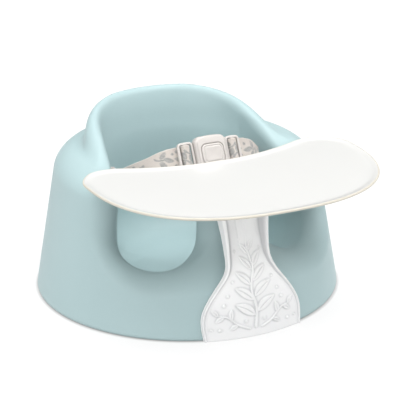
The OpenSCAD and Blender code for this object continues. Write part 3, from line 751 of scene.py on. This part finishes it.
def make_stem():
    cols = 231
    u = np.linspace(-1, 1, cols)
    u = np.sign(u) * (1 - (1 - np.abs(u)) ** 1.12)
    z = np.concatenate([[0.6, 0.75, 1.1, 1.6], np.arange(2.2, 172.6, 0.62), [172.9, 173.3]])
    U, Z = np.meshgrid(u, z)
    half = smooth_table(STEM_HALF, Z)
    X = U * half
    e = (half - np.abs(X)) / smooth_table(STEM_RIMW, Z)
    rim = smooth_table(STEM_RIM, Z)
    # rounded crest of the flange, then its inner slope down to the flat
    # a narrow rounded crest at the outside, then a steep wall down to the face
    crest = np.clip(e / 0.30, 0, 1)
    wall = ease(0.24, 0.68, e)
    front = 3 + rim * (1 - wall) - 1.3 * (1 - np.sqrt(np.clip(1 - (1 - crest) ** 2, 0, 1)))
    inside = ease(0.95, 1.2, e)
    panel = 0.9 * ease(0, 0.9, X + 9.5 + 0.03 * (Z - 120)) * ease(0, 0.9, 17.0 + 0.12 * (Z - 104) - X) * ease(100, 116, Z)
    art = 1.9 * relief(X, Z) * inside * (1 - 0.8 * ease(100, 112, Z))
    low = ease(0.0, 1.0, (Z - 0.6) / 1.2)
    front = front - 0.35 * inside + art + panel * inside - 0.55 * (1 - low)
    # painted shade in the hollows of the relief
    painted_shade = 0.45 * np.clip((blurred(blurred(front, 2, 4), 2, 4) - front) / 0.6 - 0.1, 0, 1)
    # painted shade on the flange's inner wall
    painted_shade = np.maximum(painted_shade, 0.8 * ease(0.22, 0.5, e) * (1 - ease(0.62, 0.95, e)) * ease(20, 90, Z))
    # painted shade, darker towards the floor
    painted_shade = np.clip(painted_shade + 0.5 * (1 - ease(8, 110, Z)), 0, 1)
    painted_shade = np.concatenate([painted_shade.ravel(), np.zeros(painted_shade.size)])
    yb = -np.sqrt(smooth_table(STEM_BACK, Z) ** 2 - X * X)
    rows = len(z)
    F = np.stack([X, yb - front, Z], -1).reshape(-1, 3)
    # back face
    B = np.stack([X, yb + 0.0, Z], -1).reshape(-1, 3)
    n = rows * cols
    idx = np.arange(n).reshape(rows, cols)
    a, b, c, d = idx[:-1, :-1], idx[:-1, 1:], idx[1:, 1:], idx[1:, :-1]
    qf = np.stack([a, b, c, d], -1).reshape(-1, 4)
    qb = np.stack([a, d, c, b], -1).reshape(-1, 4) + n
    side = []
    for col, flip in ((0, False), (cols - 1, True)):
        f0, f1 = idx[:-1, col], idx[1:, col]
        s = np.stack([f0, f1, f1 + n, f0 + n], -1)
        side.append(s[:, ::-1] if flip else s)
    for row, flip in ((0, True), (rows - 1, False)):
        f0, f1 = idx[row, :-1], idx[row, 1:]
        s = np.stack([f0, f1, f1 + n, f0 + n], -1)
        side.append(s[:, ::-1] if flip else s)
    # the points carry the weight of the painted shade
    ob = build("tray_leg", np.concatenate([F, B]), np.concatenate([qf, qb] + side), mats=[MAT_LEG], sharp=50, point={"painted_shade": painted_shade})
    place(ob, "tray", "white_plastic", "tray_stem")
    return ob


# ------------------------------------------------------------------ buckle frame
LEAN = math.radians(64)
B0 = np.array([3.5, -63.5, 185.0])
EU = np.array([0, math.cos(LEAN), math.sin(LEAN)])
EN = np.array([0, -math.sin(LEAN), math.cos(LEAN)])
LADDER_TURN = math.radians(6)


def to_world(p):
    p = np.asarray(p, float).reshape(-1, 3)
    return B0 + p[:, :1] * np.array([1.0, 0, 0]) + p[:, 1:2] * EU + p[:, 2:3] * EN


def rings_of(points, normals, profile, lift=None):
    out = []
    for inset, z in profile:
        p = points - normals * inset
        zz = np.full(len(p), float(z))
        if lift is not None:
            zz = zz + lift(p[:, 0], p[:, 1])
        out.append(np.column_stack([p, zz]))
    return out


def between(a, b, steps, lift=None, za=0.0, zb=0.0):
    """Rings from outline a to outline b."""
    out = []
    for f in steps:
        p = a * (1 - f) + b * f
        zz = np.full(len(p), za * (1 - f) + zb * f)
        if lift is not None:
            zz = zz + lift(p[:, 0], p[:, 1])
        out.append(np.column_stack([p, zz]))
    return out


def buckle_shape(w, h, r, sag):
    return lambda x, y: rmax(np.abs(x) - w / 2, np.abs(y) - (h / 2 - sag * (x / 20.2) ** 2), r)


def make_buckle():
    count = 224
    crown = lambda x, y: 0.9 - 0.9 * (x / 21.5) ** 2 - 0.5 * (y / 22) ** 2
    outer = polar(buckle_shape(41.2, 44, 7.5, 1.7), (0, -1), count, far=40)
    on = outward(outer)
    plate_ = polar(buckle_shape(35.2, 41.5, 7, 1.6), (0, -1), count, far=40)
    hole = polar(box2(29.4, 25.4, 7, 0, -1), (0, -1), count, far=40)
    pn = outward(plate_)
    hn = outward(hole)
    rings = rings_of(outer, on, [(0.6, 0.02), (0.15, 0.12), (0, 0.5), (0, 1.4), (0, 2.4), (0.12, 3.2), (0.45, 4.1), (1.0, 4.9),
                                 (1.7, 5.5), (2.4, 5.9)])
    last = rings[-1][:, :2]
    foot = plate_ + pn * 0.5
    rings += between(last, foot, (0.5, 0.85), za=5.95, zb=6.5)
    rings += rings_of(plate_, pn, [(-0.25, 6.55), (0.0, 6.75), (0.25, 7.1), (0.7, 7.38), (1.3, 7.5)], lambda x, y: crown(x, y) * 0.55)
    a = rings[-1][:, :2]
    edge = hole + hn * 0.9
    rings += between(a, edge, (0.3, 0.65), lambda x, y: crown(x, y) * 0.55, 7.52, 7.62)
    rings += rings_of(hole, hn, [(-0.9, 7.62), (-0.45, 7.55), (-0.12, 7.28), (0, 6.9), (0, 5.2), (0, 3.4)],
                      lambda x, y: crown(x, y) * 0.55)
    v, q, t = loft(rings)
    ob = build("buckle_cover", to_world(v), q, t, mats=[MAT_CREAM], sharp=60)
    place(ob, "seat", "cream_plastic", "buckle_front")

    # button: rim, groove, and a shallow dished centre
    out = polar(box2(28.4, 24.4, 6.6, 0, -1), (0, -1), count, far=40)
    n = outward(out)
    prof = [(0, 3.9), (0, 6.4), (0.1, 7.3), (0.42, 7.9), (0.95, 8.25), (1.6, 8.4), (2.25, 8.36), (2.6, 8.1), (2.85, 7.85),
            (3.15, 7.9), (3.45, 8.2), (3.9, 8.42), (4.6, 8.46)]
    lift = lambda x, y: crown(x, y) * 0.35
    rings = rings_of(out, n, prof, lift)
    inner = rings[-1][:, :2]
    mid = np.array([0.0, -1.0])
    for f in (0.8, 0.6, 0.4, 0.2):
        p = mid + (inner - mid) * f
        dish = 0.45 * (1 - f * f)
        rings.append(np.column_stack([p, 8.46 - dish + lift(p[:, 0], p[:, 1])]))
    v, q, t = loft(rings, cap_last=(0, -1, 8.46 - 0.45 + lift(0.0, -1.0)))
    skirt = polar(box2(31.4, 27.4, 8, 0, -1), (0, -1), count, far=40)
    sn = outward(skirt)
    r2 = rings_of(skirt, sn, [(8, 3.95), (0.4, 3.95), (0, 4.3), (0, 5.1), (0.4, 5.45), (3, 5.5)])
    v2, q2, t2 = loft(r2, cap_first=(0, -1, 3.95))
    v, q, t, _ = joined([(v, q, t), (v2, q2, t2)])
    ob = build("buckle_button", to_world(v), q, t, mats=[MAT_CREAM], sharp=60)
    place(ob, "button", "cream_plastic", "release_button")


def flat_plate(outer, holes, z0, z1, bevel, res=3):
    """(verts, faces) of a plate with holes and rounded edges, made from a filled outline."""
    cu = bpy.data.curves.new("plate", "CURVE")
    cu.dimensions = "2D"
    cu.fill_mode = "BOTH"
    cu.extrude = (z1 - z0) / 2 - bevel
    cu.bevel_depth = bevel
    cu.bevel_resolution = res
    cu.offset = -bevel
    for loop in [outer] + list(holes):
        sp = cu.splines.new("POLY")
        sp.points.add(len(loop) - 1)
        sp.points.foreach_set("co", np.column_stack([loop, np.zeros(len(loop)), np.ones(len(loop))]).ravel())
        sp.use_cyclic_u = True
    ob = bpy.data.objects.new("plate", cu)
    scene.collection.objects.link(ob)
    dg = bpy.context.evaluated_depsgraph_get()
    me = bpy.data.meshes.new_from_object(ob.evaluated_get(dg))
    bm = bmesh.new()
    bm.from_mesh(me)
    bmesh.ops.remove_doubles(bm, verts=bm.verts, dist=1e-3)
    bmesh.ops.recalc_face_normals(bm, faces=bm.faces)
    bmesh.ops.triangulate(bm, faces=[f for f in bm.faces if len(f.verts) > 4])
    v = np.array([x.co for x in bm.verts], float)
    v[:, 2] += (z0 + z1) / 2
    q = [[x.index for x in f.verts] for f in bm.faces if len(f.verts) == 4]
    t = [[x.index for x in f.verts] for f in bm.faces if len(f.verts) == 3]
    bm.free()
    bpy.data.meshes.remove(me)
    bpy.data.objects.remove(ob)
    bpy.data.curves.remove(cu)
    return v, np.array(q, int).reshape(-1, 4), np.array(t, int).reshape(-1, 3)


def soft_box(lo, hi, bevel, seg=3):
    bm = bmesh.new()
    bmesh.ops.create_cube(bm, size=1.0)
    lo, hi = np.asarray(lo, float), np.asarray(hi, float)
    for v in bm.verts:
        v.co = Vector((lo + hi) / 2 + (hi - lo) * np.array(v.co))
    bmesh.ops.bevel(bm, geom=list(bm.edges), offset=bevel, segments=seg, affect="EDGES", profile=0.5)
    bmesh.ops.recalc_face_normals(bm, faces=bm.faces)
    v = np.array([x.co for x in bm.verts], float)
    q = [[x.index for x in f.verts] for f in bm.faces if len(f.verts) == 4]
    t = [[x.index for x in f.verts] for f in bm.faces if len(f.verts) == 3]
    bm.free()
    return v, np.array(q, int).reshape(-1, 4), np.array(t, int).reshape(-1, 3)


def make_latch(s):
    name = "left" if s < 0 else "right"
    shape = lambda x, y: rmax(np.abs(x - 10.5) - 10.1, np.abs(y) - (18 - 0.9 * ((x - 10.5) / 10.1) ** 2), 4.5)
    outer = polar(shape, (10.5, 0), 144, far=40)
    holes = [polar(box2(5.3, 29.2, 1.6, 6.05, 0), (6.05, 0), 88, far=30)[::-1],
             polar(box2(4.7, 29.2, 1.6, 14.95, 0), (14.95, 0), 88, far=30)[::-1]]
    ladder = flat_plate(outer, holes, -4, 0.8, 1.15)
    v = ladder[0]
    c, n = math.cos(LADDER_TURN), math.sin(LADDER_TURN)
    v = np.column_stack([20.6 + v[:, 0] * c + v[:, 2] * n, v[:, 1], -v[:, 0] * n + v[:, 2] * c])
    parts = [(v, ladder[1], ladder[2])]
    parts.append(soft_box((5.6, -10.1, -3.55), (23.6, 10.1, -0.75), 0.5))
    for y in (-7.6, 7.6):
        parts.append(soft_box((6.2, y - 1.5, -1.2), (19.4, y + 1.5, -0.7), 0.2))
    v, q, t, _ = joined(parts)
    if s < 0:
        v = v * np.array([-1, 1, 1])
        q, t = q[:, ::-1], t[:, ::-1]
    ob = build(f"latch_{name}_plate", to_world(v), q, t, mats=[MAT_CREAM], sharp=48)
    place(ob, f"latch_{name}", "cream_plastic", f"latch_{name}")


def softened(node, name, body, slot, mat, width, *, angle=35):
    """A copy of a CAD node with its edges rounded, in place of it."""
    me = NODES[node].data.copy()
    bm = bmesh.new()
    bm.from_mesh(me)
    bmesh.ops.remove_doubles(bm, verts=bm.verts, dist=1e-6)
    bmesh.ops.dissolve_limit(bm, angle_limit=math.radians(1.0), verts=bm.verts, edges=bm.edges)
    edges = [e for e in bm.edges if len(e.link_faces) == 2 and e.calc_face_angle(0) > math.radians(angle)]
    bmesh.ops.bevel(bm, geom=edges, offset=width, segments=3, affect="EDGES", profile=0.5, clamp_overlap=True)
    bmesh.ops.triangulate(bm, faces=[f for f in bm.faces if len(f.verts) > 4])
    bm.to_mesh(me)
    bm.free()
    me.materials.clear()
    me.materials.append(mat)
    me.polygons.foreach_set("material_index", np.zeros(len(me.polygons), np.int32))
    me.polygons.foreach_set("use_smooth", np.ones(len(me.polygons), bool))
    me.set_sharp_from_angle(angle=math.radians(40))
    ob = bpy.data.objects.new(name, me)
    scene.collection.objects.link(ob)
    place(ob, body, slot, node)
    return ob


def make_spring():
    turns, r, wire, z0, z1 = 4, 3.1, 0.35, -3.55, 5.15
    n = turns * 36
    a = 2 * math.pi * np.arange(n + 1) / 36
    path = np.column_stack([r * np.cos(a), -1 + r * np.sin(a), z0 + (z1 - z0) * np.arange(n + 1) / n])
    rings = []
    for i in range(n + 1):
        b = 2 * math.pi * np.arange(10) / 10
        o = np.array([math.cos(a[i]), math.sin(a[i]), 0])
        rings.append(path[i] + wire * (np.cos(b)[:, None] * o + np.sin(b)[:, None] * np.array([0, 0, 1.0])))
    v, q, t = loft(rings, "flat", "flat")
    ob = build("button_coil", to_world(v), q[:, ::-1], t[:, ::-1], mats=[MAT_STEEL])
    place(ob, "seat", "steel", "button_spring")
    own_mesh(ob)


# ------------------------------------------------------------------ webbing
WEB_W, WEB_T = 28.0, 1.4
ANCHOR_Z, TILT = 135.0, math.radians(18)
LOOP = [(54, -8.7), (46, -8.9), (37, -9.0), (30.8, -8.6), (27.9, -7), (27.1, -4), (27.3, -1), (28.1, 1), (29.9, 2.3), (32.6, 2.7),
        (35.2, 2.3), (36.7, 1), (37.2, -1), (37.5, -3), (38.8, -5), (41, -5.7), (46, -5.7)]


def ladder_pt(s, x, z):
    c, n, u = math.cos(LADDER_TURN), math.sin(LADDER_TURN), x - 22
    return to_world([[s * (20.6 + u * c + z * n), 0, -u * n + z * c]])[0]


def wall_pt(s, l):
    a = math.radians(-3.5) + l * math.cos(TILT) / 96
    z = ANCHOR_Z + l * math.sin(TILT)
    r = 95 + WALL * (z - 30) - 1.25
    return np.array([s * r * math.cos(a), 6 - r * math.sin(a), z])


def motif(u, v):
    """Ink from 0 to 1 of a small printed sprig. u is across and v along, in millimetres, from the motif's middle."""
    ink = np.maximum(leaf(v, u, (-6.5, -2), (-1.5, 5.6), 2.9), leaf(v, u, (-3, -3.5), (7.5, 1.2), 2.7))
    ink = np.maximum(ink, leaf(v, u, (-5.5, -4), (0.8, -9.2), 2.5))
    ink = np.maximum(ink, 1.0 * (line(v, u, [(-9.5, -6), (-6, -3), (-1, -2.6)], 0.9, 0.7) > 0.2))
    for c, r in (((3.6, 6.6), 1.5), ((6.6, -5.2), 1.3), ((-6.6, 4.8), 1.2)):
        ink = np.maximum(ink, 1.0 * (dot(v, u, c, r) > 0.15))
    return np.clip(ink * 1.6, 0, 1)


def strap(name, points, widths, prints, sub, across=44):
    """A woven strap along points, with rounded selvages, and its printed motifs."""
    p = catmull(points, sub)
    n = len(p)
    tan = np.empty_like(p)
    tan[1:-1] = p[2:] - p[:-2]
    tan[0], tan[-1] = p[1] - p[0], p[-1] - p[-2]
    tan /= np.linalg.norm(tan, axis=1, keepdims=True)
    w = widths(np.arange(n) / sub)
    w = w - tan * (w * tan).sum(1, keepdims=True)
    w /= np.linalg.norm(w, axis=1, keepdims=True)
    nn = np.cross(tan, w)
    run = np.concatenate([[0], np.cumsum(np.linalg.norm(np.diff(p, axis=0), axis=1))])
    # cross-section: two faces with rounded, slightly thicker selvages
    half, th = WEB_W / 2, WEB_T / 2
    us = np.linspace(-1, 1, across)
    us = np.sign(us) * np.abs(us) ** 0.92
    face_h = th * (0.86 + 0.14 * ease(0.86, 0.93, np.abs(us))) * np.sqrt(np.clip(1 - np.clip((np.abs(us) - 0.965) / 0.035, 0, 1) ** 2, 0.02, 1))
    sec = [(u * half, h) for u, h in zip(us, face_h)] + [(u * half, -h) for u, h in zip(us[::-1], face_h[::-1])]
    sec = np.array(sec)
    m = len(sec)
    verts = (p[:, None, :] + w[:, None, :] * sec[None, :, :1] + nn[:, None, :] * sec[None, :, 1:2]).reshape(-1, 3)
    uu = np.tile(sec[:, 0], n)
    vv = np.repeat(run, m)
    ink = np.zeros(n * m)
    for k, (c, flip) in enumerate(prints):
        s = -1 if flip else 1
        ink = np.maximum(ink, motif(uu * s / 1.35, (vv - c) * s / 1.35))
    i, k = np.meshgrid(np.arange(n - 1), np.arange(m), indexing="ij")
    k2 = (k + 1) % m
    quads = np.stack([i * m + k, i * m + k2, (i + 1) * m + k2, (i + 1) * m + k], -1).reshape(-1, 4)
    caps = []
    for base in (0, (n - 1) * m):
        for j in range(across - 1):
            c = [base + j, base + j + 1, base + m - 2 - j, base + m - 1 - j]
            caps.append(c if base else c[::-1])
    quads = np.concatenate([quads[:, ::-1], np.array(caps)[:, ::-1]])
    # rows of stitches near both ends
    parts = [(verts, quads, np.zeros((0, 3), int))]
    for where in (3.0, 7.0, run[-1] - 3.0):
        i0 = int(np.searchsorted(run, where))
        i0 = min(max(i0, 1), n - 2)
        for x in np.arange(-half + 2.2, half - 1.0, 2.6):
            for side in (1, -1):
                c = p[i0] + w[i0] * x + nn[i0] * side * (th * 0.9)
                rings = []
                for f in np.linspace(-1, 1, 7):
                    rr = 0.26 * math.sqrt(max(1 - f * f, 0.02))
                    b = 2 * math.pi * np.arange(6) / 6
                    rings.append(c + w[i0] * f * 0.95 + (np.cos(b)[:, None] * tan[i0] + np.sin(b)[:, None] * nn[i0]) * rr)
                parts.append(loft(rings, "flat", "flat"))
    v, q, t, who = joined(parts)
    uv = np.zeros((len(v), 2))
    uv[: len(verts), 0] = uu
    uv[: len(verts), 1] = vv
    inks = np.zeros(len(v))
    inks[: len(verts)] = ink
    ob = build(name, v, q, t, mats=[MAT_WEB, MAT_THREAD], face_mat=(who > 0).astype(int), uv=uv, sharp=60, point={"print": inks})
    return ob, run


def make_straps():
    mids = {-1: [(-56, -57.2, 179.6), (-69, -51.8, 172.8), (-82, -37.7, 163.0), (-91.5, -18.8, 150.8)],
            1: [(60, -55.5, 177.5), (71.5, -49, 168.5), (83, -35, 158), (92, -17, 147)]}
    for s, name in ((-1, "left"), (1, "right")):
        free = [ladder_pt(s, *q) for q in LOOP] + [np.array(q, float) for q in mids[s]] + \
               [wall_pt(s, l) for l in (14, 8, 2, -4, -10, -16)]
        nl, nm = len(LOOP), len(mids[s])

        def widths(i, s=s, nl=nl, nm=nm):
            t = np.clip((i - nl + 1) / (nm + 1), 0, 1)[:, None]
            a = math.radians(-3.5) + (14 - 6 * np.maximum(i - nl - nm, 0)) * math.cos(TILT) / 96
            wa = np.column_stack([s * (np.sin(a) * math.sin(TILT) + WALL * math.cos(TILT)), np.cos(a) * math.sin(TILT),
                                  np.full(len(a), math.cos(TILT))])
            return EU * (1 - t) + wa * t

        places = [(9, False), (29, True), (50, False)] + \
                 ([(69, True), (108, False), (139, True)] if s < 0 else [(71, True), (93, False), (116, True), (139, False)])
        ob, run = strap(f"waist_web_{name}", free, widths, places, 12)
        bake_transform(ob)
        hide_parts(f"waist_strap_{name}")
    top = [(-46, -4.9), (-38, -4.3), (-34, -2.0), (-31.5, 0.2), (-29, 0.6), (-26.8, -0.6), (-26.1, -3.4), (-26.8, -6.0),
           (-30, -7.2), (-36, -7.3), (-46, -7.5)]
    pts = [to_world([[0, a, b]])[0] for a, b in top]
    pts += [np.array(q, float) for q in [(2.6, -82.5, 128), (1.8, -85.2, 110), (1, -84, 88), (0.4, -80.5, 67), (0, -73, 49),
                                         (0, -62.5, 38.8), (0, -56, 34.4), (0, -51, 32.1), (0, -46.5, 31.45), (0, -42, 31.15)]]
    ob, run = strap("crotch_web", pts, lambda i: np.tile([1.0, 0, 0], (len(i), 1)), [(70, False), (104, True), (138, False)], 10)
    place(ob, "seat", "webbing", "crotch_strap")


# ------------------------------------------------------------------ small parts
def make_rest():
    softened("buckle_back", "buckle_base", "seat", "cream_plastic", MAT_CREAM, 0.00045)
    softened("anchor_left", "anchor_plate_left", "seat", "cream_plastic", MAT_CREAM, 0.0009)
    softened("anchor_right", "anchor_plate_right", "seat", "cream_plastic", MAT_CREAM, 0.0009)
    softened("anchor_floor", "anchor_plate_floor", "seat", "cream_plastic", MAT_CREAM, 0.0009)
    softened("stem_plate", "leg_plate", "tray", "white_plastic", MAT_STEM, 0.0008)
    for n in ("anchor_screws", "buckle_screws", "tray_screws"):
        me = NODES[n].data
        me.materials.clear()
        me.materials.append(MAT_STEEL)


make_seat()
make_tray()
make_stem()
make_buckle()
make_latch(-1)
make_latch(1)
make_spring()
make_straps()
make_rest()

# ------------------------------------------------------------------ stage and light
floor_mat = Nodes("floor")
floor_mat.colour(floor_mat.mix(floor_mat.noise(3, 2), (0.20, 0.20, 0.20, 1), (0.205, 0.205, 0.205, 1)))
floor_mat.set(Roughness=0.9, Specular_IOR_Level=0.0, Emission_Color=(1, 1, 1, 1))
# a glowing table: it glows all around the seat and not below it; the glow fades out across the seat's base edge, a
# painted contact shadow
where = floor_mat.t.nodes.new("ShaderNodeVectorMath")
where.operation = "LENGTH"
floor_mat.link(floor_mat.co, where.inputs[0])
# the fade from 183 to 192 mm is the painted contact shadow at the base
floor_mat.link(floor_mat.span(where.outputs["Value"], 0.183, 0.192, 0.0, 0.75), floor_mat.bsdf.inputs["Emission Strength"])
bm = bmesh.new()
bmesh.ops.create_circle(bm, cap_ends=True, segments=96, radius=14.0)
me = bpy.data.meshes.new("floor")
bm.to_mesh(me)
bm.free()
floor = bpy.data.objects.new("floor", me)
floor.location = (0, 0, -0.0002)
floor.data.materials.append(floor_mat.mat)
scene.collection.objects.link(floor)

world = bpy.data.worlds.new("studio")
scene.world = world
world.use_nodes = True
world.node_tree.nodes["Background"].inputs["Color"].default_value = (1.0, 1.0, 1.0, 1)
world.node_tree.nodes["Background"].inputs["Strength"].default_value = 0.06


def sun(name, azimuth, elevation, strength, angle=50):
    """A soft light. Azimuth 0 is the front, 90 the left."""
    d = bpy.data.lights.new(name, "SUN")
    d.energy = strength * math.pi
    d.angle = math.radians(angle)
    o = bpy.data.objects.new(name, d)
    a, e = math.radians(azimuth), math.radians(elevation)
    way = Vector((-math.sin(a) * math.cos(e), -math.cos(a) * math.cos(e), math.sin(e)))
    o.rotation_euler = way.to_track_quat("Z", "Y").to_euler()
    scene.collection.objects.link(o)


sun("overhead", 0, 90, 0.74)
sun("key_front", 0, 58, 0.20)
sun("fill_front", 0, 20, 0.04)
sun("key_right", 315, 58, 0.38)
sun("key_left", 45, 58, 0.14)
sun("side_left", 60, 28, 0.46)
sun("rim_left", 120, 28, 0.10)
sun("rim_right", 240, 28, 0.03)
sun("side_right", 300, 28, 0.28)
scene.view_settings.view_transform = "Standard"
scene.view_settings.look = "None"
